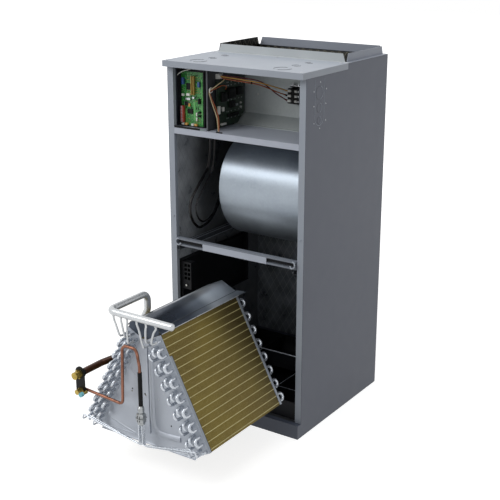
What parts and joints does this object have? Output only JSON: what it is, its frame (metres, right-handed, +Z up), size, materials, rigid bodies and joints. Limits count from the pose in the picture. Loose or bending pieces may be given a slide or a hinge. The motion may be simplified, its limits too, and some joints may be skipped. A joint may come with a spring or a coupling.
{
  "type": "air handler",
  "caption": "Upright sheet-metal air handler with a blower, a control compartment and an A-shaped coil that slides out of the open front.",
  "frame": {"origin": "on the floor, at the middle of the cabinet's front edge, on the underside of the front base rail", "axes": "+Z up, +Y from the front of the cabinet to its back, +X to the right as seen from the front"},
  "size_m": [0.5424, 1.1045, 1.262],
  "materials": {
    "light_enamel": "satin light grey enamel",
    "dark_enamel": "satin slate grey enamel",
    "galvanised": "galvanised sheet",
    "foil_liner": "foil scrim on glass wool",
    "black_plastic": "matt moulded plastic",
    "white_plastic": "moulded nylon",
    "board_green": "solder resist over laminate",
    "wire_orange": "soft insulation",
    "wire_black": "soft insulation",
    "motor_shell": "cast and painted",
    "wheel_steel": "galvanised sheet",
    "shaft_steel": "ground",
    "fins": "coated fins",
    "bright_aluminium": "bright drawn tube",
    "copper_dark": "aged copper",
    "copper": "drawn copper",
    "brass": "machined brass",
    "valve_steel": "machined",
    "black_rubber": "foam sleeve",
    "teal_cap": "moulded cap",
    "zinc": "zinc plated"
  },
  "bodies": {
    "cabinet": {"left_side_panel": "dark_enamel", "right_side_panel": "dark_enamel", "back_panel": "dark_enamel", "front_posts": "light_enamel", "top_cap": "light_enamel", "front_duct_flange": "dark_enamel", "rear_duct_flange": "dark_enamel", "side_duct_flanges": "dark_enamel", "base_front_rail": "dark_enamel", "base_rails": "galvanised", "base_deck": "galvanised", "left_liner": "foil_liner", "right_liner": "foil_liner", "back_liner": "foil_liner", "control_shelf": "light_enamel", "blower_deck": "galvanised", "control_back_panel": "galvanised", "divider_panel": "light_enamel", "board_carrier": "black_plastic", "control_board": "board_green", "interface_board": "board_green", "board_components": "white_plastic", "terminal_block": "black_plastic", "wire_clip": "white_plastic", "harness_plug": "white_plastic", "control_wires": "wire_orange", "blower_wrap": "galvanised", "blower_side_plates": "galvanised", "motor_body": "motor_shell", "motor_module": "black_plastic", "motor_mount": "galvanised", "motor_leads": "wire_black", "cross_rail": "light_enamel", "cross_rail_cover": "light_enamel", "side_ledges": "light_enamel", "drain_pan": "black_plastic", "side_drain_pan": "black_plastic", "drain_plug": "white_plastic", "screws": "zinc"},
    "wheel": {"blower_wheel": "wheel_steel", "wheel_hub": "wheel_steel", "motor_shaft": "shaft_steel"},
    "coil": {"left_fin_pack": "fins", "right_fin_pack": "fins", "coil_tubes": "bright_aluminium", "slab_end_plates": "bright_aluminium", "front_return_bends": "bright_aluminium", "rear_return_bends": "bright_aluminium", "delta_plates": "galvanised", "apex_cap": "galvanised", "suction_header": "bright_aluminium", "feeder_tubes": "bright_aluminium", "suction_stub": "copper_dark", "liquid_line": "copper", "line_sleeve": "black_rubber", "expansion_valve": "valve_steel", "distributor_tubes": "bright_aluminium", "fitting_plate": "black_plastic", "line_fittings": "brass", "service_cap": "teal_cap"}
  },
  "joints": [
    {"name": "coil_slide", "type": "slide", "parent": "cabinet", "child": "coil", "axis": [0, 1, 0], "range_m": [0, 0.52]},
    {"name": "blower_spin", "type": "hinge", "parent": "cabinet", "child": "wheel", "pos_m": [0, 0.278, 0.804], "axis": [1, 0, 0], "continuous": true}
  ]
}
